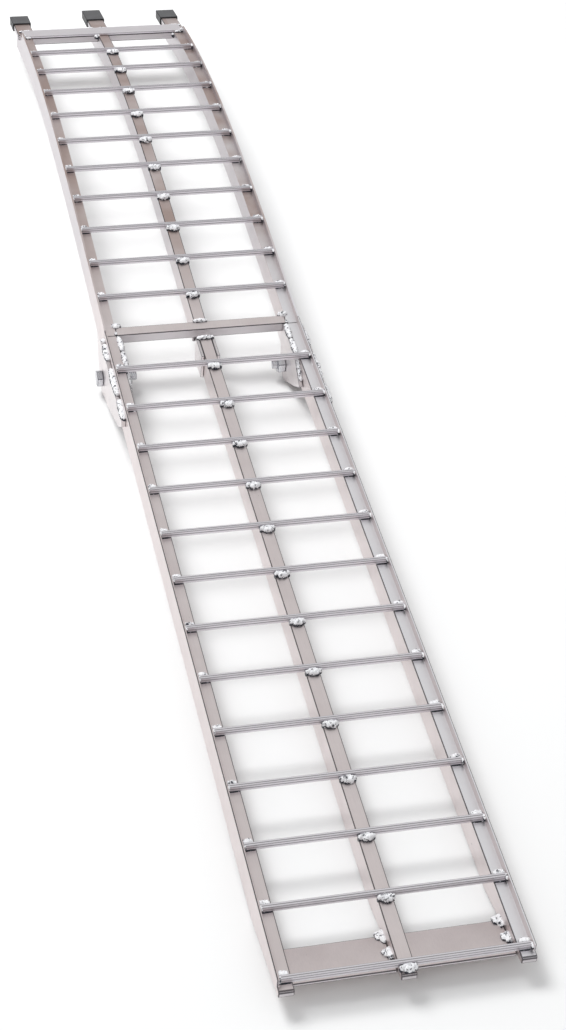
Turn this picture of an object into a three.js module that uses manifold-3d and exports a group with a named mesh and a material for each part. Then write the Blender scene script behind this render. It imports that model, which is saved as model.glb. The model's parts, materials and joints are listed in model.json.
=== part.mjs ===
// A folding loading ramp: two ladder sections of rectangular tube that butt in the middle, on a hinge below them.
// Millimetres, +Z up. Y runs from the ground end towards the tailgate end, X runs across, and left is -X.
// The ramp stands open on a floor, on the heels of its ground end and on the round bottoms of its hinge plates.
// "Ahead" is along a section towards the tailgate end, and "above" is square to it, from the top of the rails.
import * as THREE from "three";
import { mergeVertices } from "three/addons/utils/BufferGeometryUtils.js";
import Module from "manifold-3d";

const wasm = await Module();
wasm.setup();

// Fits
const fitGap = 0.3; // between pieces that are welded or pressed together
const turningGap = 0.5; // between pieces that turn past each other

// Rails
const overallWidth = 305;
const railWidth = 19;
const railHeight = 40;
const railWall = 3;
const lipHeight = 11;
const lipThickness = 3;
const railOffset = (overallWidth - railWidth) / 2;
const bayWidth = railOffset - railWidth;

// Rungs
const rungLength = overallWidth - 2 * lipThickness - 1;
const rungDepth = 6.5;
const rungHeight = 8;
const rungChamfer = 0.6;
const grooveHalfWidth = 0.5;
const lowerRungCount = 13;
const lowerPitch = 93.6;
const upperRungCount = 10;
const upperPitch = 87;
const splitMargin = 89.4; // from the split to the first rung on each side
const bottomRungAdvance = 8; // the lowest rung sits this much nearer the tip

// Lower section and its bevelled ground end
const splitY = 1214.6;
const tipY = -21;
const tipThickness = 9;
const tipRounding = 2;
const heelY = 115;
const lowerLipStartY = -12;
const bevelAngle = Math.atan2(railHeight - tipThickness, heelY - tipY);
const groundPlateStartY = -7;
const groundPlateLength = 62;
const groundPlateThickness = 4;

// Upper section: a slight valley at the hinge, and an arch that tightens towards the tailgate end
const upperLength = 963; // from the split to the top station
const valleyAngle = THREE.MathUtils.degToRad(3);
const archRise = THREE.MathUtils.degToRad(3.6);
const archFall = THREE.MathUtils.degToRad(18.9);
const archSteps = 24;

// Hinge, measured from the split at rail-top height
const pivotAhead = -30;
const pivotAbove = -56;
const hingePlateThickness = 6;
const plateEyeRadius = 28.5;
const boltRadius = 6.35;
const boltHoleRadius = 6.9;
const boltHeadAcrossFlats = 23;
const boltHeadHeight = 9;
const boltReach = 20; // how far the bolt stands out inside the inner plate
const nutHeight = 12;
const tongueThickness = 18;
const tongueEyeRadius = 14.5;
const tongueLength = 72;
const hingeBarDepth = 19;
const hingeBarHeight = 16;
const saddleThickness = 4.5;
const saddleLength = 48;
const saddleSetback = 20; // from the split back to the saddle's closed end

// Tailgate end, measured ahead of the top station
const topPlateStart = 6;
const topPlateDepth = 40;
const topPlateThickness = 3.5;
const topBarDepth = 25.4;
const topBarHeight = 12;
const upperLipEnd = 6;
const notchStart = 32;
const upperRailEnd = 92;
const fingerWidth = 30;
const fingerThickness = 10;
const sideFingerOffset = 141;
const capWidth = 34;
const capThickness = 15;
const capEndWall = 4;
const sideCapStart = 98;
const sideCapLength = 48;
const centerCapStart = 104;
const centerCapLength = 61;

const sides = [
  { name: "left", sign: -1 },
  { name: "center", sign: 0 },
  { name: "right", sign: 1 },
];
const outerSides = sides.filter((side) => side.sign !== 0);

const finishes = {
  rail: { color: 0xc9c6c3, roughness: 0.42, metalness: 0.9 },
  rung: { color: 0xd2d1dc, roughness: 0.38, metalness: 0.9 },
  plate: { color: 0xd6d8de, roughness: 0.36, metalness: 0.9 },
  hardware: { color: 0xb9bcc2, roughness: 0.3, metalness: 1 },
  rubber: { color: 0x17171b, roughness: 0.75, metalness: 0 },
};

// --- Places along the two sections ---

function upperHeading(distance) {
  const share = distance / upperLength;
  return valleyAngle + archRise * share - archFall * share * share;
}

// Rungs are counted from the ground end, and spaced back from the split.
function lowerRungSpot(i) {
  const y = splitY - splitMargin - (lowerRungCount - 1 - i) * lowerPitch;
  return { y: i === 0 ? y - bottomRungAdvance : y, z: 0, heading: 0 };
}

// A place on the top of the upper rails, at a distance from the split. Past the arch the rails run straight.
function upperSpot(distance) {
  const curved = Math.min(distance, upperLength);
  const step = curved / archSteps;
  const spot = { y: splitY, z: 0, heading: upperHeading(curved) };
  for (let i = 0; i < archSteps; i += 1) {
    const heading = upperHeading((i + 0.5) * step);
    spot.y += step * Math.cos(heading);
    spot.z += step * Math.sin(heading);
  }
  return offset(spot, distance - curved, 0);
}

function topSpot() {
  return upperSpot(upperLength);
}

function bevelSpot(y) {
  const z = -railHeight + (heelY - y) * Math.tan(bevelAngle);
  return { y, z, heading: -bevelAngle };
}

function offset(spot, ahead, above) {
  const cos = Math.cos(spot.heading);
  const sin = Math.sin(spot.heading);
  return {
    y: spot.y + ahead * cos - above * sin,
    z: spot.z + ahead * sin + above * cos,
    heading: spot.heading,
  };
}

// --- Solids ---

function solidOf(geometry) {
  const bare = geometry.clone();
  bare.deleteAttribute("normal");
  bare.deleteAttribute("uv");
  const merged = mergeVertices(bare, 1e-3);
  return new wasm.Manifold(
    new wasm.Mesh({
      numProp: 3,
      vertProperties: merged.attributes.position.array,
      triVerts: new Uint32Array(merged.index.array),
    }),
  );
}

function geometryOf(solid) {
  const mesh = solid.getMesh();
  const geometry = new THREE.BufferGeometry();
  geometry.setAttribute("position", new THREE.BufferAttribute(mesh.vertProperties, 3));
  geometry.setIndex(new THREE.BufferAttribute(mesh.triVerts, 1));
  geometry.computeVertexNormals();
  return geometry;
}

function join(first, second) {
  return geometryOf(solidOf(first).add(solidOf(second)));
}

function cut(first, second) {
  return geometryOf(solidOf(first).subtract(solidOf(second)));
}

// A side view drawn in (y, z), given a width across, centred on x = 0.
function extrudeAcross(shape, width) {
  const geometry = new THREE.ExtrudeGeometry(shape, { depth: width, bevelEnabled: false, curveSegments: 8 });
  geometry.translate(0, 0, -width / 2);
  const across = new THREE.Matrix4().makeBasis(
    new THREE.Vector3(0, 1, 0),
    new THREE.Vector3(0, 0, 1),
    new THREE.Vector3(1, 0, 0),
  );
  return geometry.applyMatrix4(across);
}

function shapeThrough(points) {
  return new THREE.Shape(points.map((point) => new THREE.Vector2(point.y, point.z)));
}

function bar(width, depth, height) {
  return new THREE.BoxGeometry(width, depth, height);
}

function rodAcross(radius, length, segments) {
  return new THREE.CylinderGeometry(radius, radius, length, segments).rotateZ(Math.PI / 2);
}

// A bar's mesh origin is its own middle, and "above" is where its middle goes.
function place(mesh, spot, ahead, above, x) {
  const at = offset(spot, ahead, above);
  mesh.position.set(x, at.y, at.z);
  mesh.rotation.x = spot.heading;
}

function addPiece(group, name, geometry, finish) {
  const mesh = new THREE.Mesh(geometry, new THREE.MeshStandardMaterial(finishes[finish]));
  mesh.name = name;
  group.add(mesh);
  return mesh;
}

// --- Rails ---

// Side view of a lower rail, or of its hollow when it is inset by the wall. The hollow opens at the split.
function lowerRailShape(endY, inset) {
  const bevelLift = inset / Math.cos(bevelAngle);
  const bevelAt = (y) => bevelSpot(y).z + bevelLift;
  const heel = heelY + (bevelLift - inset) / Math.tan(bevelAngle);
  const rounding = inset > 0 ? 0 : tipRounding;
  return shapeThrough([
    { y: tipY + inset, z: bevelAt(tipY + inset) },
    { y: heel, z: inset - railHeight },
    { y: endY + inset, z: inset - railHeight },
    { y: endY + inset, z: -inset },
    { y: tipY + inset + rounding, z: -inset },
    { y: tipY + inset, z: -inset - rounding },
  ].slice(0, inset > 0 ? 5 : 6));
}

// Side view of an upper rail, or of its hollow. Its top steps down at the end, where a finger lies on it.
// An outer rail is mitred to close flat against the lower one, and the center rail is cut square.
function upperRailShape(start, inset, isMitred) {
  const stepDistance = upperLength + notchStart - inset;
  const endDistance = upperLength + upperRailEnd - inset;
  const stepAbove = -fingerThickness - fitGap - inset;
  const stations = [];
  for (let i = 0; i <= archSteps; i += 1) {
    stations.push(start - inset + ((upperLength - start + inset) * i) / archSteps);
  }
  const top = stations.map((distance) => offset(upperSpot(distance), 0, -inset));
  const bottom = stations.map((distance) => offset(upperSpot(distance), 0, inset - railHeight)).reverse();
  if (isMitred) bottom[bottom.length - 1].y = top[0].y;
  return shapeThrough([
    ...bottom,
    ...top,
    offset(upperSpot(stepDistance), 0, -inset),
    offset(upperSpot(stepDistance), 0, stepAbove),
    offset(upperSpot(endDistance), 0, stepAbove),
    offset(upperSpot(endDistance), 0, inset - railHeight),
  ]);
}

function lowerLipShape() {
  const endY = splitY;
  return shapeThrough([
    { y: lowerLipStartY, z: -railWall / 2 },
    { y: endY, z: -railWall / 2 },
    { y: endY, z: lipHeight },
    { y: lowerLipStartY, z: lipHeight },
  ]);
}

function upperLipShape() {
  const end = upperLength + upperLipEnd;
  const stations = [];
  for (let i = 0; i <= archSteps; i += 1) {
    stations.push(turningGap + ((end - turningGap) * i) / archSteps);
  }
  const top = stations.map((distance) => offset(upperSpot(distance), 0, lipHeight)).reverse();
  const bottom = stations.map((distance) => offset(upperSpot(distance), 0, -railWall / 2));
  top[top.length - 1].y = splitY + turningGap;
  bottom[0].y = splitY + turningGap;
  return shapeThrough([...bottom, ...top]);
}

function makeRail(side, outline, hollow, lipShape) {
  const tube = cut(extrudeAcross(outline, railWidth), extrudeAcross(hollow, railWidth - 2 * railWall));
  if (side.sign === 0) return tube;
  const lip = extrudeAcross(lipShape, lipThickness);
  lip.translate((side.sign * (railWidth - lipThickness)) / 2, 0, 0);
  return join(tube, lip);
}

function addRails(lower, upper) {
  for (const side of sides) {
    const isCenter = side.sign === 0;
    const lowerEnd = isCenter ? splitY - saddleSetback - saddleThickness - fitGap : splitY;
    const upperStart = isCenter ? turningGap + hingeBarDepth + fitGap : turningGap;
    const lowerGeometry = makeRail(
      side,
      lowerRailShape(lowerEnd, 0),
      lowerRailShape(lowerEnd, railWall),
      lowerLipShape(),
    );
    const upperGeometry = makeRail(
      side,
      upperRailShape(upperStart, 0, !isCenter),
      upperRailShape(upperStart, railWall, !isCenter),
      upperLipShape(),
    );
    const lowerRail = addPiece(lower, `lower_rail_${side.name}`, lowerGeometry, "rail");
    const upperRail = addPiece(upper, `upper_rail_${side.name}`, upperGeometry, "rail");
    lowerRail.position.x = side.sign * railOffset;
    upperRail.position.x = side.sign * railOffset;
  }
}

// --- Rungs ---

// A bar with eased top corners, and a fine groove along the middle of its top, its front and its back.
function rungGeometry() {
  const half = rungDepth / 2;
  const middle = rungHeight / 2;
  const shape = shapeThrough([
    { y: -half, z: 0 },
    { y: half, z: 0 },
    { y: half, z: middle - grooveHalfWidth },
    { y: half - grooveHalfWidth, z: middle },
    { y: half, z: middle + grooveHalfWidth },
    { y: half, z: rungHeight - rungChamfer },
    { y: half - rungChamfer, z: rungHeight },
    { y: grooveHalfWidth, z: rungHeight },
    { y: 0, z: rungHeight - grooveHalfWidth },
    { y: -grooveHalfWidth, z: rungHeight },
    { y: rungChamfer - half, z: rungHeight },
    { y: -half, z: rungHeight - rungChamfer },
    { y: -half, z: middle + grooveHalfWidth },
    { y: grooveHalfWidth - half, z: middle },
    { y: -half, z: middle - grooveHalfWidth },
  ]);
  return extrudeAcross(shape, rungLength);
}

function addRungs(group, prefix, count, spotAt) {
  for (let i = 0; i < count; i += 1) {
    const number = String(i + 1).padStart(2, "0");
    const rung = addPiece(group, `${prefix}_rung_${number}`, rungGeometry(), "rung");
    place(rung, spotAt(i), 0, fitGap, 0);
  }
}

// --- Ground end ---

function addGroundPlates(group) {
  for (const side of outerSides) {
    const plate = addPiece(
      group,
      `ground_plate_${side.name}`,
      bar(bayWidth - 2 * fitGap, groundPlateLength, groundPlateThickness),
      "rail",
    );
    const x = (side.sign * (railWidth + bayWidth)) / 2;
    place(plate, bevelSpot(groundPlateStartY), groundPlateLength / 2, groundPlateThickness / 2, x);
  }
}

// --- Hinge ---

// A hole is drawn the opposite way round to its outline.
function addBoltHole(shape, clockwise) {
  const hole = new THREE.Path();
  hole.absarc(pivotAhead, pivotAbove, boltHoleRadius, 0, 2 * Math.PI, clockwise);
  shape.holes.push(hole);
}

// Corners are given ahead of the split and above the rail tops. The eye's round end joins them at the bottom.
function eyePlateShape(frontCorners, backCorners) {
  const shape = new THREE.Shape();
  const [first, ...others] = frontCorners;
  shape.moveTo(first[0], first[1]);
  for (const [ahead, above] of others) shape.lineTo(ahead, above);
  const from = THREE.MathUtils.degToRad(-20);
  const to = THREE.MathUtils.degToRad(-130);
  shape.absarc(pivotAhead, pivotAbove, plateEyeRadius, from, to, true);
  for (const [ahead, above] of backCorners) shape.lineTo(ahead, above);
  shape.closePath();
  addBoltHole(shape, false);
  return shape;
}

function outerPlateShape() {
  const front = [[-4, -3], [10, -13], [25, -28], [19, -33], [7, -52]];
  const back = [[-84, -69], [-130, -52], [-176, -35], [-203, -14], [-200, -4]];
  return eyePlateShape(front, back);
}

function innerPlateShape() {
  const front = [[-1, -1], [-1, -15], [4, -22], [0, -50]];
  const back = [[-59, -71], [-96, -49], [-119, -34], [-125, -29], [-119, -25], [-80, -1]];
  return eyePlateShape(front, back);
}

// The lug under an upper rail that turns on the bolt, between the two plates.
function tongueShape() {
  const rootFront = offset(upperSpot(2), 0, -railHeight - fitGap);
  const rootBack = offset(upperSpot(tongueLength), 0, -railHeight - fitGap);
  const shape = new THREE.Shape();
  shape.moveTo(rootBack.y - splitY, rootBack.z);
  shape.lineTo(rootFront.y - splitY, rootFront.z);
  shape.lineTo(-4, -railHeight - 1);
  const from = THREE.MathUtils.degToRad(90);
  const to = THREE.MathUtils.degToRad(285);
  shape.absarc(pivotAhead, pivotAbove, tongueEyeRadius, from, to, false);
  shape.lineTo(tongueLength - 12, -54);
  shape.closePath();
  addBoltHole(shape, true);
  return shape;
}

function boltGeometry(shankLength) {
  const headRadius = boltHeadAcrossFlats / 2 / Math.cos(Math.PI / 6);
  const head = rodAcross(headRadius, boltHeadHeight, 6);
  head.translate((shankLength + boltHeadHeight) / 2 - 1, 0, 0);
  return join(rodAcross(boltRadius, shankLength, 24), head);
}

function nutGeometry() {
  const radius = boltHeadAcrossFlats / 2 / Math.cos(Math.PI / 6);
  const hole = rodAcross(boltRadius + fitGap + 0.1, nutHeight + 2, 24);
  return cut(rodAcross(radius, nutHeight, 6), hole);
}

function addHinge(lower, upper) {
  const railOuterX = overallWidth / 2;
  const railInnerX = railOuterX - railWidth;
  const outerFaceX = railOuterX + turningGap + hingePlateThickness;
  const innerFaceX = railInnerX - turningGap - hingePlateThickness;
  const pivotY = splitY + pivotAhead;
  for (const side of outerSides) {
    const outerPlate = addPiece(
      lower,
      `hinge_plate_outer_${side.name}`,
      extrudeAcross(outerPlateShape(), hingePlateThickness),
      "plate",
    );
    outerPlate.position.set(side.sign * (outerFaceX - hingePlateThickness / 2), splitY, 0);

    const innerPlate = addPiece(
      lower,
      `hinge_plate_inner_${side.name}`,
      extrudeAcross(innerPlateShape(), hingePlateThickness),
      "plate",
    );
    innerPlate.position.set(side.sign * (innerFaceX + hingePlateThickness / 2), splitY, 0);

    const tongue = addPiece(
      upper,
      `hinge_tongue_${side.name}`,
      extrudeAcross(tongueShape(), tongueThickness),
      "plate",
    );
    tongue.position.set(side.sign * railOffset, splitY, 0);

    // The head's underside overlaps the shank by 1 mm inside the bolt, and clears the plate by the fit gap.
    const headX = outerFaceX + fitGap;
    const shankLength = headX - innerFaceX + boltReach + 1;
    const bolt = addPiece(lower, `hinge_bolt_${side.name}`, boltGeometry(shankLength), "hardware");
    bolt.position.set(side.sign * (headX + 1 - shankLength / 2), pivotY, pivotAbove);
    bolt.rotation.z = side.sign < 0 ? Math.PI : 0;

    const nut = addPiece(lower, `hinge_nut_${side.name}`, nutGeometry(), "hardware");
    nut.position.set(side.sign * (innerFaceX - fitGap - nutHeight / 2), pivotY, pivotAbove);
  }

  const hingeBar = addPiece(
    upper,
    "hinge_cross_bar",
    bar(2 * (railInnerX - fitGap), hingeBarDepth, hingeBarHeight),
    "rail",
  );
  place(hingeBar, upperSpot(0), turningGap + hingeBarDepth / 2, -hingeBarHeight / 2, 0);
}

// A U of plate round the end of the lower center rail, which the hinge cross bar closes against.
function addSaddle(group) {
  const outerHalf = railWidth / 2 + fitGap + saddleThickness;
  const innerHalf = railWidth / 2 + fitGap;
  const endY = -saddleSetback;
  const shape = new THREE.Shape();
  shape.moveTo(-outerHalf, endY);
  shape.lineTo(-outerHalf, endY - saddleLength);
  shape.lineTo(-innerHalf, endY - saddleLength);
  shape.lineTo(-innerHalf, endY - saddleThickness);
  shape.lineTo(innerHalf, endY - saddleThickness);
  shape.lineTo(innerHalf, endY - saddleLength);
  shape.lineTo(outerHalf, endY - saddleLength);
  shape.lineTo(outerHalf, endY);
  shape.closePath();
  const geometry = new THREE.ExtrudeGeometry(shape, { depth: railHeight, bevelEnabled: false });
  const saddle = addPiece(group, "center_saddle", geometry, "plate");
  saddle.position.set(0, splitY, -railHeight);
}

// --- Tailgate end ---

function capGeometry(length) {
  const pocket = bar(fingerWidth + 2 * fitGap, length, fingerThickness + 2 * fitGap);
  pocket.translate(0, -capEndWall, 0);
  return cut(bar(capWidth, length, capThickness), pocket);
}

function addFingers(group) {
  for (const side of sides) {
    const isCenter = side.sign === 0;
    const capStart = isCenter ? centerCapStart : sideCapStart;
    const capLength = isCenter ? centerCapLength : sideCapLength;
    const fingerStart = notchStart + fitGap;
    const fingerEnd = capStart + capLength - capEndWall - fitGap;
    const fingerLength = fingerEnd - fingerStart;
    const x = side.sign * sideFingerOffset;
    const middleAbove = -fingerThickness / 2;

    const finger = addPiece(
      group,
      `finger_${side.name}`,
      bar(fingerWidth, fingerLength, fingerThickness),
      "rail",
    );
    place(finger, topSpot(), fingerStart + fingerLength / 2, middleAbove, x);

    const cap = addPiece(group, `finger_cap_${side.name}`, capGeometry(capLength), "rubber");
    place(cap, topSpot(), capStart + capLength / 2, middleAbove, x);
  }
}

function addTopBars(group) {
  for (const side of outerSides) {
    const topBar = addPiece(
      group,
      `top_cross_bar_${side.name}`,
      bar(bayWidth - 2 * fitGap, topBarDepth, topBarHeight),
      "rail",
    );
    const x = (side.sign * (railWidth + bayWidth)) / 2;
    place(topBar, topSpot(), topPlateStart + topBarDepth / 2, -topBarHeight / 2, x);
  }
  const plate = addPiece(group, "top_plate", bar(rungLength, topPlateDepth, topPlateThickness), "rung");
  const middleAbove = fitGap + topPlateThickness / 2;
  place(plate, topSpot(), topPlateStart + topPlateDepth / 2, middleAbove, 0);
}

// --- The ramp, stood on the floor ---

const lowerSection = new THREE.Group();
const upperSection = new THREE.Group();
addRails(lowerSection, upperSection);
addRungs(lowerSection, "lower", lowerRungCount, lowerRungSpot);
addRungs(upperSection, "upper", upperRungCount, (i) => upperSpot(splitMargin + i * upperPitch));
addGroundPlates(lowerSection);
addSaddle(lowerSection);
addHinge(lowerSection, upperSection);
addTopBars(upperSection);
addFingers(upperSection);

const heelToPivot = splitY + pivotAhead - heelY;
const pivotDrop = -pivotAbove - railHeight;
const reach = Math.hypot(heelToPivot, pivotDrop);
const standingAngle = Math.asin(plateEyeRadius / reach) + Math.atan2(pivotDrop, heelToPivot);

const ramp = new THREE.Group();
ramp.add(lowerSection, upperSection);
ramp.rotation.x = standingAngle;
const box = new THREE.Box3().setFromObject(ramp, true);
ramp.position.set(0, -(box.min.y + box.max.y) / 2, -box.min.z);

const group = new THREE.Group();
group.add(ramp);

export default group;
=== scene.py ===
import json
import math
import bmesh
import bpy
from mathutils import Matrix, Vector, noise


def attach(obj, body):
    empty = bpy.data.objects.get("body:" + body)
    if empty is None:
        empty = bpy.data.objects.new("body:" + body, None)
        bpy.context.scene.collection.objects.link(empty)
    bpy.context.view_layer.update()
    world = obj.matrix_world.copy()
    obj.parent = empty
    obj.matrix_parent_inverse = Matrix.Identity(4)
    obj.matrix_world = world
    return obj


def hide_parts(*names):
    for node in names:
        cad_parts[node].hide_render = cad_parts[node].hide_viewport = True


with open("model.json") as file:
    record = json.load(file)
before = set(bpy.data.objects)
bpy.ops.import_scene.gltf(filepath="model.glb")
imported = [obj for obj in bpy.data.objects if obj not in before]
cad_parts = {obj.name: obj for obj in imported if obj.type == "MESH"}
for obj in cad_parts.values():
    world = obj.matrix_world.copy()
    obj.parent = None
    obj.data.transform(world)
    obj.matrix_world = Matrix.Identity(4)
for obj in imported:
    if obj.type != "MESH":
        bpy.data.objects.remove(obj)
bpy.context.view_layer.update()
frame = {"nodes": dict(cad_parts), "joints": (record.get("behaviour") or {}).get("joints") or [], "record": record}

scene = bpy.context.scene
nodes = frame["nodes"]
nodeBody = {name: body for body, names in frame["record"]["behaviour"]["bodies"].items() for name in names}

# The sections are laid out on the line of the lower rails' tops, with y from the lowest full-pitch rung.
ladder = {
    "tilt": math.radians(2.384),  # how far that line leans up from the floor
    "pivotY": 1.1846,
    "pivotZ": -0.056,
    "splitY": 1.2146,
    "valley": math.radians(3.0),  # heading of the upper rails at the split
    "rise": math.radians(3.6),
    "fall": math.radians(18.9),
    "upperLength": 0.963,
    "steps": 48,
    "lowerRungs": (0.002, 0.0936, 13),  # first station, spacing and number
    "bottomRungShift": -0.008,
    "upperRungs": (0.0894, 0.087, 10),
}
pivot = Vector(frame["joints"][0]["pos_m"])
tilt = Matrix.Rotation(ladder["tilt"], 4, "X")
ladderOrigin = pivot - tilt @ Vector((0, ladder["pivotY"], ladder["pivotZ"]))
ladderFrame = Matrix.Translation(ladderOrigin) @ tilt


def lowerPlace(y):
    return ladderFrame @ Matrix.Translation((0, y, 0))


def upperHeading(distance):
    share = distance / ladder["upperLength"]
    return ladder["valley"] + ladder["rise"] * share - ladder["fall"] * share * share


# The upper rails follow their arch to its end and run straight beyond it.
def upperPlace(distance):
    curved = min(distance, ladder["upperLength"])
    step = curved / ladder["steps"]
    y, z = ladder["splitY"], 0.0
    for i in range(ladder["steps"]):
        y += step * math.cos(upperHeading((i + 0.5) * step))
        z += step * math.sin(upperHeading((i + 0.5) * step))
    end = upperHeading(curved)
    y += (distance - curved) * math.cos(end)
    z += (distance - curved) * math.sin(end)
    return ladderFrame @ Matrix.Translation((0, y, z)) @ Matrix.Rotation(end, 4, "X")


# ---- camera, floor and light ----

cameraSettings = {
    "place": (-0.6103, -1.4530, 2.0048),  # on the ladder's own axes
    "yaw": math.radians(16.03),
    "pitch": math.radians(40.89),
    "roll": math.radians(5.315),
    "sensor": 36,
    "lens": 76.68,
    "reach": 50,
}


def makeCamera():
    s = cameraSettings
    level = math.cos(s["pitch"])
    ahead = Vector((math.sin(s["yaw"]) * level, math.cos(s["yaw"]) * level, -math.sin(s["pitch"])))
    right = Vector((math.cos(s["yaw"]), -math.sin(s["yaw"]), 0))
    up = right.cross(ahead)
    turnedRight = right * math.cos(s["roll"]) + up * math.sin(s["roll"])
    turnedUp = up * math.cos(s["roll"]) - right * math.sin(s["roll"])
    axes = Matrix((turnedRight, turnedUp, -ahead)).transposed().to_4x4()
    data = bpy.data.cameras.new("camera")
    data.sensor_fit = "VERTICAL"
    data.sensor_width = s["sensor"]
    data.sensor_height = s["sensor"]
    data.lens = s["lens"]
    data.clip_end = s["reach"]
    camera = bpy.data.objects.new("camera", data)
    camera.matrix_world = ladderFrame @ Matrix.Translation(s["place"]) @ axes
    scene.collection.objects.link(camera)
    scene.camera = camera


floorSettings = {"size": 60, "colour": (0.845, 0.85, 0.85, 1), "roughness": 0.9}


def makeFloor():
    s = floorSettings
    bm = bmesh.new()
    bmesh.ops.create_grid(bm, x_segments=1, y_segments=1, size=s["size"] / 2)
    mesh = bpy.data.meshes.new("floor")
    bm.to_mesh(mesh)
    bm.free()
    floor = bpy.data.objects.new("floor", mesh)
    scene.collection.objects.link(floor)
    material = bpy.data.materials.new("floorPaper")
    material.use_nodes = True
    shader = material.node_tree.nodes["Principled BSDF"]
    shader.inputs["Base Color"].default_value = s["colour"]
    shader.inputs["Roughness"].default_value = s["roughness"]
    mesh.materials.append(material)


skySettings = {
    "horizon": (0.66, 0.63, 0.63, 1),
    "above": (0.785, 0.79, 0.795, 1),
    "band": (0.12, 0.56),  # height on the unit sky over which the horizon's tone clears
    "strength": 0.84,
}


def makeSky():
    s = skySettings
    world = bpy.data.worlds.new("studio")
    scene.world = world
    world.use_nodes = True
    sky = world.node_tree.nodes
    links = world.node_tree.links
    height = sky.new("ShaderNodeSeparateXYZ")
    links.new(sky.new("ShaderNodeTexCoord").outputs["Generated"], height.inputs[0])
    band = sky.new("ShaderNodeMapRange")
    band.inputs["From Min"].default_value, band.inputs["From Max"].default_value = s["band"]
    links.new(height.outputs[2], band.inputs["Value"])
    tone = sky.new("ShaderNodeMix")
    tone.data_type = "RGBA"
    tone.inputs[6].default_value = s["horizon"]
    tone.inputs[7].default_value = s["above"]
    links.new(band.outputs[0], tone.inputs[0])
    background = sky["Background"]
    links.new(tone.outputs[2], background.inputs["Color"])
    background.inputs["Strength"].default_value = s["strength"]
    scene.view_settings.view_transform = "Standard"


lamps = {
    "key": {"place": (-1.6, 1.6, 4.2), "size": 2.0, "power": 176, "glossy": False},
    "fill": {"place": (-2.5, -3.0, 3.0), "size": 2.5, "power": 14, "glossy": True},
}


def makeLamp(name, place, size, power, glossy):
    data = bpy.data.lights.new(name, "AREA")
    data.size = size
    data.energy = power
    lamp = bpy.data.objects.new(name, data)
    lamp.location = place
    lamp.rotation_euler = (-Vector(place)).to_track_quat("-Z", "Y").to_euler()
    lamp.visible_glossy = glossy
    scene.collection.objects.link(lamp)


makeCamera()
makeFloor()
makeSky()
for name, lampSettings in lamps.items():
    makeLamp(name, **lampSettings)
print("camera and studio ready")

# ---- eased edges ----

easing = {
    "sharpAngle": math.radians(24),
    "flatAngle": math.radians(0.3),
    "mergeGap": 0.00002,
    "segments": 2,
    "normalWeight": 80,
    "widths": {
        "rail_aluminium": 0.0012,
        "rung_aluminium": 0.0004,
        "plate_aluminium": 0.0009,
        "bolt_steel": 0.0009,
        "cap_rubber": 0.0022,
    },
    "lipBand": (0.1480, 0.1512),  # across the rails' thin outer lips, whose eased edges get no painted edge shade
    "thinPieces": {"top_plate": 0.0007, "center_saddle": 0.0008},
}


def newPiece(name, bm, body):
    bmesh.ops.recalc_face_normals(bm, faces=bm.faces)
    mesh = bpy.data.meshes.new(name)
    bm.to_mesh(mesh)
    bm.free()
    for polygon in mesh.polygons:
        polygon.use_smooth = True
    piece = bpy.data.objects.new(name, mesh)
    scene.collection.objects.link(piece)
    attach(piece, body)
    return piece


def easedCopy(name, slot):
    s = easing
    width = s["thinPieces"].get(name, s["widths"][slot])
    bm = bmesh.new()
    bm.from_mesh(nodes[name].data)
    bmesh.ops.remove_doubles(bm, verts=bm.verts, dist=s["mergeGap"])
    bmesh.ops.dissolve_limit(bm, angle_limit=s["flatAngle"], verts=bm.verts, edges=bm.edges)
    # Bevel faces are flagged for the dark painted shade along eased edges, except across the rails' lips.
    edgeShade = bm.faces.layers.float.new("edgeShade")
    sharp = [edge for edge in bm.edges if edge.is_manifold and edge.calc_face_angle() > s["sharpAngle"]]
    made = bmesh.ops.bevel(bm, geom=sharp, affect="EDGES", offset=width, segments=s["segments"],
                           profile=0.5, material=-1, clamp_overlap=True)
    for face in made["faces"]:
        x = abs(face.calc_center_median().x)
        onLip = s["lipBand"][0] < x < s["lipBand"][1]
        face[edgeShade] = 0.0 if onLip and slot == "rail_aluminium" else 1.0
    piece = newPiece(name + "_eased", bm, nodeBody[name])
    weighting = piece.modifiers.new("even normals", "WEIGHTED_NORMAL")
    weighting.weight = s["normalWeight"]
    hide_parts(name)
    return piece


slotPieces = {slot: [] for slot in easing["widths"]}
for entry in frame["record"]["subparts"]:
    slotPieces[entry["material_slot"]].append(easedCopy(entry["node"], entry["material_slot"]))
print("eased pieces ready")

# ---- weld beads ----

# A seat is x, y and z from its base. A size is length, width and height, and the length lies along x.
weld = {
    "ripple": 0.0024,  # spacing of the ripples along a bead
    "rippleDepth": 0.14,
    "bluntness": 0.22,  # lower is squarer at the bead's ends
    "rough": 0.34,
    "roughScale": (300, 2, 2),
    "seedStep": 7.3,  # keeps the beads' roughness apart
    "around": 12,
    "ringsPerRipple": 4,
    "rings": (8, 44),  # fewest and most
}
lump = {
    "beads": (  # shift along and across, and share of the whole weld's size
        (-0.3, 0.12, 0.62),
        (0.02, -0.1, 0.74),
        (0.31, 0.1, 0.6),
        (0.05, 0.3, 0.5),
    ),
    "widthShare": 1.05,
    "heightShare": (0.75, 0.3),  # the least, and what a bead's share adds
    "turn": 0.5,
    "turnSeeds": (3.1, 40, 90),
}
beadParts = {"lower_section": bmesh.new(), "upper_section": bmesh.new()}
beads = []  # the body of each bead so far; its number seeds the bead's lumps


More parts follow.
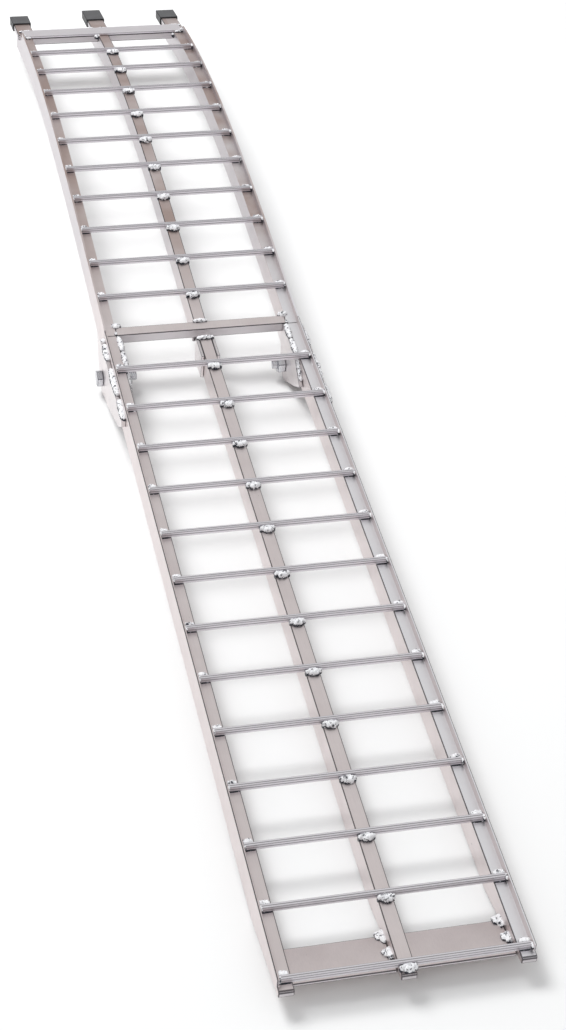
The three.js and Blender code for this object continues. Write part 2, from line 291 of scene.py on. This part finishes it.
# A bead is half sunk in what it joins.
def addBead(body, base, seat, size, turn=0.0, tone=1.0):
    s = weld
    length, width, height = size
    beads.append(body)
    fewest, most = s["rings"]
    scaleX, scaleY, scaleZ = s["roughScale"]
    seed = len(beads) * s["seedStep"]
    ripples = length / s["ripple"]
    rings = max(fewest, min(most, round(ripples) * s["ringsPerRipple"]))
    bm = bmesh.new()
    bmesh.ops.create_uvsphere(bm, u_segments=s["around"], v_segments=rings, radius=1.0)
    crown = bm.verts.layers.float.new("crown")
    bmesh.ops.rotate(bm, verts=bm.verts, matrix=Matrix.Rotation(math.pi / 2, 3, "Y"))
    for vertex in bm.verts:
        along = vertex.co.x
        reach = max(0.0, 1 - along * along) ** s["bluntness"]
        flat = math.hypot(vertex.co.y, vertex.co.z) or 1.0
        wave = abs(math.cos(along * ripples * math.pi / 2))
        swell = reach * (1 - s["rippleDepth"] + s["rippleDepth"] * wave)
        spot = Vector((along * length * scaleX, vertex.co.y * scaleY + seed, vertex.co.z * scaleZ))
        swell *= 1 + s["rough"] * noise.noise(spot)
        vertex.co.x = along * length / 2
        vertex.co.y *= swell * width / 2 / flat
        vertex.co.z *= swell * height / flat
        vertex[crown] = tone * max(0.0, vertex.co.z / height)
    place = base @ Matrix.Translation(seat) @ Matrix.Rotation(turn, 4, "Z")
    bmesh.ops.transform(bm, matrix=place, verts=bm.verts)
    loose = bpy.data.meshes.new("bead")
    bm.to_mesh(loose)
    bm.free()
    beadParts[body].from_mesh(loose)
    bpy.data.meshes.remove(loose)


# Four overlapping beads make one lumpy weld.
def addLumps(body, base, seat, size):
    s = lump
    x, y, z = seat
    length, width, height = size
    least, added = s["heightShare"]
    seedI, seedX, seedY = s["turnSeeds"]
    for i, (along, across, share) in enumerate(s["beads"]):
        turn = s["turn"] * noise.noise(Vector((i * seedI + x * seedX, y * seedY, len(beads))))
        beadSeat = (x + along * length, y + across * width, z)
        beadSize = (length * share, width * share * s["widthShare"], height * (least + added * share))
        addBead(body, base, beadSeat, beadSize, turn)


def onSide(sign, seat):
    return (sign * seat[0], seat[1], seat[2])


def rungPlaces():
    first, spacing, number = ladder["lowerRungs"]
    lower = [lowerPlace(first + i * spacing) for i in range(number)]
    lower[0] = lowerPlace(first + ladder["bottomRungShift"])
    first, spacing, number = ladder["upperRungs"]
    upper = [upperPlace(first + i * spacing) for i in range(number)]
    return {"lower_section": lower, "upper_section": upper}


# The first seat's y is from the rung's back face, and the others' from its front face.
rungWelds = {
    "rungDepth": 0.0065,
    "behindSeat": (0.143, 0.0042, 0.0006),
    "behindSize": (0.0145, 0.0125, 0.0062),
    "straySeeds": (1.7, 2.3),
    "strayShift": 0.0012,
    "strayTurn": 0.12,
    # A thin bead wholly in the darkest weld colour, in front of each rung end, is a painted contact shadow on the
    # rail.
    "contactShadowSeat": (0.1426, -0.0003, 0.0002),
    "contactShadowSize": (0.0165, 0.0022, 0.0008),
    "endSeat": (0.1487, 0.001, 0.0055),
    "endSize": (0.0085, 0.0042, 0.0042),
    "endStrayTurn": 0.5,
    "centerSeat": (0.0006, -0.0044, 0.0010),
    "centerSize": (0.0180, 0.0125, 0.0074),
}


def addRungWelds():
    s = rungWelds
    back = s["rungDepth"] / 2
    front = -back
    seedI, seedSide = s["straySeeds"]
    for body, places in rungPlaces().items():
        for i, base in enumerate(places):
            for sign in (-1, 1):
                stray = noise.noise(Vector((i * seedI, sign * seedSide, len(places))))
                x, y, z = s["behindSeat"]
                behind = (sign * (x + s["strayShift"] * stray), back + y, z)
                addBead(body, base, behind, s["behindSize"], s["strayTurn"] * stray)
                # This thin dark bead is painted contact shadow under the rung's front edge.
                x, y, z = s["contactShadowSeat"]
                addBead(body, base, (sign * x, front + y, z), s["contactShadowSize"], tone=0.0)
                x, y, z = s["endSeat"]
                endTurn = math.pi / 2 - s["endStrayTurn"] * stray
                addBead(body, base, (sign * x, front + y, z), s["endSize"], endTurn)
            x, y, z = s["centerSeat"]
            addLumps(body, base, (x, front + y, z), s["centerSize"])


# The runs and the first seats are measured from the split, and the bar's seats from its back edge.
hingeWelds = {
    "outerRuns": ((-0.201, -0.154), (-0.143, -0.078), (-0.057, -0.018)),  # along the outer plates' tops
    "outerLine": (0.1548, -0.0032),  # x and z
    "outerSection": (0.0118, 0.0066),  # width and height
    "innerRuns": ((-0.078, -0.042), (-0.039, -0.003)),
    "innerLine": (0.1312, -0.0012),
    "innerSection": (0.0098, 0.0060),
    "slopeSeat": (0.1312, -0.1005, -0.0135),  # down the inner plates' sloping edge
    "slopeSize": (0.040, 0.0078, 0.0046),
    "slope": math.atan2(0.024, 0.039),
    "cornerSeat": (0.1545, -0.007, -0.004),
    "cornerSize": (0.007, 0.011, 0.0045),
    "saddleSeat": (0, -0.0228, 0.0004),
    "saddleSize": (0.027, 0.0082, 0.0048),
    "barBack": 0.0198,  # distance along the upper rails
    "barEndSeat": (0.1312, 0.0015, -0.0014),
    "barEndSize": (0.013, 0.0105, 0.0066),
    "barCenterSeat": (0, 0.0006, 0.0002),
    "barCenterSize": (0.0225, 0.0076, 0.0046),
    "railEnd": 0.004,
    "railEndSeat": (0.1338, 0, 0.0002),
    "railEndSize": (0.007, 0.0046, 0.0030),
}


def addHingeWelds():
    s = hingeWelds
    across = math.pi / 2
    body = "lower_section"
    split = lowerPlace(ladder["splitY"])
    for sign in (-1, 1):
        for side in ("outer", "inner"):
            x, z = s[side + "Line"]
            for start, end in s[side + "Runs"]:
                seat = (sign * x, (start + end) / 2, z)
                addBead(body, split, seat, (end - start, *s[side + "Section"]), across)
        slope = split @ Matrix.Translation(onSide(sign, s["slopeSeat"])) @ Matrix.Rotation(s["slope"], 4, "X")
        addBead(body, slope, (0, 0, 0), s["slopeSize"], across)
        addLumps(body, split, onSide(sign, s["cornerSeat"]), s["cornerSize"])
    addBead(body, split, s["saddleSeat"], s["saddleSize"])

    body = "upper_section"
    barBack = upperPlace(s["barBack"])
    for sign in (-1, 1):
        addLumps(body, barBack, onSide(sign, s["barEndSeat"]), s["barEndSize"])
        addBead(body, upperPlace(s["railEnd"]), onSide(sign, s["railEndSeat"]), s["railEndSize"], across)
    addBead(body, barBack, s["barCenterSeat"], s["barCenterSize"])


# The ground plates lie in the plane of the rails' long bevel.
groundWelds = {
    "bevelSlope": math.atan2(0.031, 0.132),
    "bevelHeel": (0.115, -0.040),  # y and z where the bevel starts
    "plateTop": 0.0042,
    "columns": (-0.0105, 0.1325),
    "rows": ((0.051, 0.021), (0.021, 0.019)),  # y and breadth
    "lengthShare": 0.8,
    "widthShare": 1.1,
    "height": 0.0044,
    "tipY": -0.0145,
    "tipSeat": (0.0, 0.0008, -0.0006),
    "tipSize": (0.0165, 0.0075, 0.0048),
}


def addGroundWelds():
    s = groundWelds
    heelY, heelZ = s["bevelHeel"]
    slope = s["bevelSlope"]
    for x in s["columns"]:
        for y, breadth in s["rows"]:
            z = heelZ + (heelY - y) * math.tan(slope) + s["plateTop"]
            base = lowerPlace(y) @ Matrix.Translation((0, 0, z)) @ Matrix.Rotation(-slope, 4, "X")
            size = (breadth * s["lengthShare"], breadth * s["widthShare"], s["height"])
            addLumps("lower_section", base, (x, 0, 0), size)
    addLumps("lower_section", lowerPlace(s["tipY"]), s["tipSeat"], s["tipSize"])


# Each weld is its seat and its size. Front and rear are distances past the end of the arch.
topWelds = {
    "front": 0.006,
    "rear": 0.046,
    "frontCorner": ((0.1485, -0.001, 0.0035), (0.006, 0.009, 0.0050)),
    "frontSeam": ((0.1415, -0.0012, 0.0006), (0.013, 0.0052, 0.0036)),
    "rearSeam": ((0.141, 0.0012, 0.0004), (0.024, 0.0054, 0.0038)),
    "frontCenter": ((-0.0118, -0.0006, -0.0022), (0.009, 0.008, 0.0048)),
    "rearCenter": ((-0.0175, 0.0012, -0.0008), (0.010, 0.009, 0.0052)),
    "rearCenterSeam": ((0.004, 0.0014, 0.0004), (0.019, 0.0052, 0.0038)),
    "frontRight": ((0.131, 0.002, -0.0052), (0.007, 0.009, 0.0048)),
}


def addTopWelds():
    s = topWelds
    body = "upper_section"
    front = upperPlace(ladder["upperLength"] + s["front"])
    rear = upperPlace(ladder["upperLength"] + s["rear"])
    for sign in (-1, 1):
        seat, size = s["frontCorner"]
        addLumps(body, front, onSide(sign, seat), size)
        seat, size = s["frontSeam"]
        addBead(body, front, onSide(sign, seat), size)
        seat, size = s["rearSeam"]
        addBead(body, rear, onSide(sign, seat), size)
    addLumps(body, front, *s["frontCenter"])
    addLumps(body, rear, *s["rearCenter"])
    addBead(body, rear, *s["rearCenterSeam"])
    addLumps(body, front, *s["frontRight"])


addRungWelds()
addHingeWelds()
addGroundWelds()
addTopWelds()
beadPieces = [newPiece(body + "_welds", bm, body) for body, bm in beadParts.items()]
print("welds ready:", len(beads))

# ---- shader nodes ----


def feed(tree, socket, value):
    if isinstance(value, bpy.types.NodeSocket):
        tree.links.new(value, socket)
    else:
        socket.default_value = value


# Inputs go by name, or by number where two sockets share a name.
def addNode(tree, kind, inputs=None, **settings):
    node = tree.nodes.new("ShaderNode" + kind)
    for key, value in settings.items():
        setattr(node, key, value)
    for key, value in (inputs or {}).items():
        feed(tree, node.inputs[key], value)
    return node


def maths(tree, operation, first, second=0.0, clamp=False):
    return addNode(tree, "Math", {0: first, 1: second}, operation=operation, use_clamp=clamp).outputs[0]


def mixColours(tree, share, first, second):
    return addNode(tree, "Mix", {0: share, 6: first, 7: second}, data_type="RGBA").outputs[2]


# Brings the band between low and high to 0 and 1.
def ramp(tree, value, low, high):
    return addNode(tree, "MapRange", {"Value": value, "From Min": low, "From Max": high}).outputs[0]


# Brings 0 and 1 to the band between low and high.
def spread(tree, value, low, high):
    return addNode(tree, "MapRange", {"Value": value, "To Min": low, "To Max": high}).outputs[0]


def coordinates(tree, kind):
    return addNode(tree, "TexCoord").outputs[kind]


def parts(tree, kind):
    return addNode(tree, "SeparateXYZ", {"Vector": coordinates(tree, kind)}).outputs


def attribute(tree, name):
    return addNode(tree, "Attribute", attribute_name=name).outputs["Fac"]


def mottle(tree, place, scale, detail, roughness):
    inputs = {"Vector": place, "Scale": scale, "Detail": detail, "Roughness": roughness}
    return addNode(tree, "TexNoise", inputs).outputs[0]


def stretched(tree, stretch):
    inputs = {0: coordinates(tree, "Object"), 1: stretch}
    return addNode(tree, "VectorMath", inputs, operation="MULTIPLY").outputs[0]


def effectGroup(name, inputs, output):
    tree = bpy.data.node_groups.new(name, "ShaderNodeTree")
    for label, (kind, value) in inputs.items():
        socket = tree.interface.new_socket(name=label, in_out="INPUT", socket_type="NodeSocket" + kind)
        socket.default_value = value
    label, kind = output
    tree.interface.new_socket(name=label, in_out="OUTPUT", socket_type="NodeSocket" + kind)
    return tree, tree.nodes.new("NodeGroupInput").outputs, tree.nodes.new("NodeGroupOutput").inputs[label]


def useGroup(tree, group, **values):
    node = tree.nodes.new("ShaderNodeGroup")
    node.node_tree = group
    for key, value in values.items():
        feed(tree, node.inputs[key], value)
    return node.outputs[0]


# ---- shared effects ----

effects = {
    "grain": {"detail": 3.0, "roughness": 0.6, "band": (0.3, 0.7)},
    "clouds": {"detail": 5.0, "roughness": 0.62, "band": (0.32, 0.68)},
    "scuffs": {"detail": 6.0, "roughness": 0.7, "gain": 14.0},
    "facing": (0.5, 0.8),  # how squarely a face looks along an axis before it counts
}
paintedFacingLight = {
    "fade": 0.25,  # distance over which the painted far tone comes in
    "patchScale": 11.0,
    "patchDetail": 3.0,
    "patchRoughness": 0.5,
    "patchBand": (0.38, 0.62),
    "warmLeast": 0.35,
    "warmPatches": 0.55,
    "front": 0.55,
    "sideShadeNear": 0.1,
    "sideShadeFar": 0.45,
}


# Fine parallel lines, drawn out along one axis by the stretch.
def makeGrainGroup():
    s = effects["grain"]
    tree, given, out = effectGroup("drawnGrain", {"Stretch": ("Vector", (400, 6, 400))}, ("Grain", "Float"))
    lines = mottle(tree, stretched(tree, given["Stretch"]), 1.0, s["detail"], s["roughness"])
    feed(tree, out, ramp(tree, lines, *s["band"]))
    return tree


# Slow clouding of the tone, as on handled mill-finish metal.
def makeCloudGroup():
    s = effects["clouds"]
    tree, given, out = effectGroup("toneClouds", {"Size": ("Float", 14.0)}, ("Cloud", "Float"))
    clouds = mottle(tree, coordinates(tree, "Object"), given["Size"], s["detail"], s["roughness"])
    feed(tree, out, ramp(tree, clouds, *s["band"]))
    return tree


# Sparse short rubs and nicks.
def makeScuffGroup():
    s = effects["scuffs"]
    inputs = {"Stretch": ("Vector", (90, 40, 90)), "Level": ("Float", 0.66)}
    tree, given, out = effectGroup("scuffs", inputs, ("Scuff", "Float"))
    rubs = mottle(tree, stretched(tree, given["Stretch"]), 1.0, s["detail"], s["roughness"])
    over = maths(tree, "SUBTRACT", rubs, given["Level"])
    feed(tree, out, maths(tree, "MULTIPLY", over, s["gain"], clamp=True))
    return tree


# Mixes a tone towards a dark painted shade on the faces that ease an edge.
def makeEdgeGroup():
    inputs = {
        "Color": ("Color", (0.8, 0.8, 0.8, 1)),
        "Edge": ("Color", (0.3, 0.3, 0.33, 1)),
        "Share": ("Float", 0.7),
    }
    tree, given, out = effectGroup("paintedEdgeShade", inputs, ("Color", "Color"))
    share = maths(tree, "MULTIPLY", attribute(tree, "edgeShade"), given["Share"])
    feed(tree, out, mixColours(tree, share, given["Color"], given["Edge"]))
    return tree


# Upward faces on one side of a plane across X get a painted reflection of the rail's lip, lighter and cooler than
# the rest.
def makeLipReflectionGroup():
    tree, given, out = effectGroup("paintedLipReflection", {"From": ("Float", 0.134)}, ("Share", "Float"))
    side = maths(tree, "GREATER_THAN", parts(tree, "Object")[0], given["From"])
    up = ramp(tree, parts(tree, "Normal")[2], *effects["facing"])
    feed(tree, out, maths(tree, "MULTIPLY", side, up))
    return tree


# Painted light by facing: upward faces beyond a plane across Y take a warmer painted tone, cloudy in patches, and
# faces turned forward or sideways a greyer painted shade.
def makeFacingLightGroup():
    s = paintedFacingLight
    inputs = {
        "Color": ("Color", (0.8, 0.8, 0.8, 1)),
        "Warm": ("Color", (0.6, 0.5, 0.45, 1)),
        "Side": ("Color", (0.6, 0.6, 0.65, 1)),
        "From": ("Float", 0.08),
    }
    tree, given, out = effectGroup("paintedFacingLight", inputs, ("Color", "Color"))
    facing = parts(tree, "Normal")
    past = maths(tree, "SUBTRACT", parts(tree, "Object")[1], given["From"])
    beyond = ramp(tree, past, 0.0, s["fade"])

    place = coordinates(tree, "Object")
    clouds = mottle(tree, place, s["patchScale"], s["patchDetail"], s["patchRoughness"])
    patches = maths(tree, "MULTIPLY", ramp(tree, clouds, *s["patchBand"]), s["warmPatches"])
    up = ramp(tree, facing[2], *effects["facing"])
    upBeyond = maths(tree, "MULTIPLY", up, beyond)
    warmLight = maths(tree, "MULTIPLY", upBeyond, maths(tree, "ADD", patches, s["warmLeast"]))

    forward = ramp(tree, maths(tree, "MULTIPLY", facing[1], -1.0), *effects["facing"])
    front = maths(tree, "MULTIPLY", forward, s["front"])
    across = ramp(tree, maths(tree, "ABSOLUTE", facing[0]), *effects["facing"])
    grey = maths(tree, "ADD", maths(tree, "MULTIPLY", beyond, s["sideShadeFar"]), s["sideShadeNear"])
    side = maths(tree, "MAXIMUM", front, maths(tree, "MULTIPLY", across, grey))

    warmed = mixColours(tree, warmLight, given["Color"], given["Warm"])
    feed(tree, out, mixColours(tree, side, warmed, given["Side"]))
    return tree


grainGroup = makeGrainGroup()
cloudGroup = makeCloudGroup()
scuffGroup = makeScuffGroup()
edgeShadeGroup = makeEdgeGroup()
lipReflectionGroup = makeLipReflectionGroup()
facingLightGroup = makeFacingLightGroup()

# ---- materials ----


def newMaterial(name):
    material = bpy.data.materials.new(name)
    material.use_nodes = True
    return material, material.node_tree, material.node_tree.nodes["Principled BSDF"]


def finishSurface(tree, shader, colour, gloss, relief, s):
    feed(tree, shader.inputs["Base Color"], colour)
    feed(tree, shader.inputs["Roughness"], spread(tree, gloss, *s["roughness"]))
    bump = addNode(tree, "Bump", {"Height": relief, "Strength": s["bump"], "Distance": s["bumpDepth"]})
    feed(tree, shader.inputs["Normal"], bump.outputs[0])


# In each finish the edge colour is the dark painted shade laid along eased edges.
metals = {
    "rail_aluminium": {
        "light": (0.88, 0.805, 0.795, 1),
        "dark": (0.76, 0.685, 0.675, 1),
        "edge": (0.05, 0.045, 0.055, 1),
        "edgeShadeShare": 0.85,
        "scuff": (0.36, 0.34, 0.34, 1),
        "level": 0.69,
        # Painted reflection of the lip on the right rail's upward faces.
        "lipReflection": (0.92, 0.91, 0.93, 1),
        # The next two colours are painted light: a warmer tone for far upward faces and a greyer shade for faces
        # turned forward or sideways.
        "warmLight": (0.50, 0.38, 0.34, 1),
        "side": (0.52, 0.52, 0.56, 1),
        "grain": (700, 9, 700),
        "rub": (160, 46, 160),
        "roughness": (0.34, 0.50),
        "bump": 0.10,
        "metallic": 0.96,
    },
    "rung_aluminium": {
        "light": (1.0, 0.975, 1.0, 1),
        "dark": (0.93, 0.90, 0.935, 1),
        "edge": (0.05, 0.04, 0.06, 1),
        "edgeShadeShare": 0.52,
        "scuff": (0.40, 0.38, 0.42, 1),
        "level": 0.68,
        # The next two colours are painted light: a lighter tone for far upward faces and a darker shade for faces
        # turned forward or sideways.
        "warmLight": (0.93, 0.91, 0.94, 1),
        "side": (0.60, 0.57, 0.61, 1),
        "grain": (9, 900, 900),
        "rub": (60, 200, 200),
        "roughness": (0.30, 0.46),
        "bump": 0.10,
        "metallic": 1.0,
    },
    "plate_aluminium": {
        "light": (0.88, 0.83, 0.825, 1),
        "dark": (0.72, 0.68, 0.685, 1),
        "edge": (0.14, 0.14, 0.17, 1),
        "edgeShadeShare": 0.6,
        "scuff": (0.46, 0.46, 0.50, 1),
        "level": 0.66,
        "grain": (260, 260, 60),
        "rub": (120, 90, 90),
        "roughness": (0.26, 0.44),
        "bump": 0.14,
        "metallic": 1.0,
    },
    "bolt_steel": {
        "light": (0.74, 0.745, 0.77, 1),
        "dark": (0.50, 0.50, 0.53, 1),
        "edge": (0.10, 0.10, 0.13, 1),
        "edgeShadeShare": 0.8,
        "scuff": (0.25, 0.25, 0.27, 1),
        "level": 0.64,
        "grain": (900, 120, 120),
        "rub": (300, 300, 300),
        "roughness": (0.20, 0.36),
        "bump": 0.10,
        "metallic": 1.0,
    },
}
allMetals = {
    "grainShare": 0.45,
    "cloudShare": 0.55,
    "cloudSize": 16.0,
    "lipReflectionFrom": 0.134,  # x of the right rail's inner face
    "lipReflectionDulling": 0.06,
    "bumpDepth": 0.0004,
}


def makeMetal(name):
    s = {**allMetals, **metals[name]}
    material, tree, shader = newMaterial(name)
    grain = useGroup(tree, grainGroup, Stretch=s["grain"])
    cloud = useGroup(tree, cloudGroup, Size=s["cloudSize"])
    scuff = useGroup(tree, scuffGroup, Stretch=s["rub"], Level=s["level"])
    grainTone = maths(tree, "MULTIPLY", grain, s["grainShare"])
    cloudTone = maths(tree, "MULTIPLY", cloud, s["cloudShare"])
    colour = mixColours(tree, maths(tree, "ADD", grainTone, cloudTone), s["dark"], s["light"])
    shader.inputs["Metallic"].default_value = s["metallic"]
    # The right rail's upward faces take a painted reflection of its lip, and are a little less metallic there.
    if "lipReflection" in s:
        lipReflection = useGroup(tree, lipReflectionGroup, From=s["lipReflectionFrom"])
        colour = mixColours(tree, lipReflection, colour, s["lipReflection"])
        dulling = maths(tree, "MULTIPLY", lipReflection, s["lipReflectionDulling"])
        feed(tree, shader.inputs["Metallic"], maths(tree, "SUBTRACT", s["metallic"], dulling))
    # Rails and rungs take painted light by facing.
    if "warmLight" in s:
        colour = useGroup(tree, facingLightGroup, Color=colour, Warm=s["warmLight"], Side=s["side"])
    worn = mixColours(tree, scuff, colour, s["scuff"])
    withEdgeShade = useGroup(tree, edgeShadeGroup, Color=worn, Edge=s["edge"], Share=s["edgeShadeShare"])
    finishSurface(tree, shader, withEdgeShade, grain, grain, s)
    return material


weldLook = {
    "light": (1.0, 1.0, 1.0, 1),
    "dark": (0.84, 0.85, 0.89, 1),
    "fineSize": 420.0,
    # The darkest weld colour is soot on the beads, and painted contact shadow on the wholly dark beads under the
    # rungs.
    "sootAndShadow": (0.012, 0.014, 0.028, 1),
    "sootStretch": (210, 210, 210),
    "sootLevel": 0.53,
    "rim": (0.50, 0.62),  # share of the bead's height over which the sooty rim clears
    "rimSize": 240.0,
    "rimRaggedness": 0.7,
    "metallic": 0.12,
    "roughness": (0.22, 0.42),
    "bump": 0.4,
    "bumpDepth": 0.0008,
}


def makeWeldMetal():
    s = weldLook
    material, tree, shader = newMaterial("weldMetal")
    fine = useGroup(tree, cloudGroup, Size=s["fineSize"])
    sootAndShadow = useGroup(tree, scuffGroup, Stretch=s["sootStretch"], Level=s["sootLevel"])
    specked = mixColours(tree, sootAndShadow, mixColours(tree, fine, s["dark"], s["light"]), s["sootAndShadow"])
    rimClouds = useGroup(tree, cloudGroup, Size=s["rimSize"])
    ragged = maths(tree, "MULTIPLY", rimClouds, s["rimRaggedness"])
    clear = ramp(tree, maths(tree, "ADD", attribute(tree, "crown"), ragged), *s["rim"])
    shader.inputs["Metallic"].default_value = s["metallic"]
    finishSurface(tree, shader, mixColours(tree, clear, s["sootAndShadow"], specked), fine, fine, s)
    return material


rubberLook = {
    "light": (0.095, 0.096, 0.100, 1),
    "dark": (0.060, 0.061, 0.064, 1),
    # The edge colour is the dark painted shade along the caps' eased edges.
    "edge": (0.004, 0.004, 0.005, 1),
    "edgeShadeShare": 0.9,
    "cloudSize": 40.0,
    "pebbleSize": 900.0,
    "roughness": (0.55, 0.72),
    "bump": 0.3,
    "bumpDepth": 0.0003,
}


def makeRubber():
    s = rubberLook
    material, tree, shader = newMaterial("capRubber")
    pebble = useGroup(tree, cloudGroup, Size=s["pebbleSize"])
    cloud = useGroup(tree, cloudGroup, Size=s["cloudSize"])
    colour = mixColours(tree, cloud, s["dark"], s["light"])
    withEdgeShade = useGroup(tree, edgeShadeGroup, Color=colour, Edge=s["edge"], Share=s["edgeShadeShare"])
    finishSurface(tree, shader, withEdgeShade, cloud, pebble, s)
    return material


finishes = {slot: makeMetal(slot) for slot in metals}
finishes["cap_rubber"] = makeRubber()
weldMetal = makeWeldMetal()
for entry in frame["record"]["subparts"]:
    mesh = nodes[entry["node"]].data
    mesh.materials.clear()
    mesh.materials.append(finishes[entry["material_slot"]])
for slot, pieces in slotPieces.items():
    for piece in pieces:
        piece.data.materials.clear()
        piece.data.materials.append(finishes[slot])
for piece in beadPieces:
    piece.data.materials.append(weldMetal)
print("materials ready")
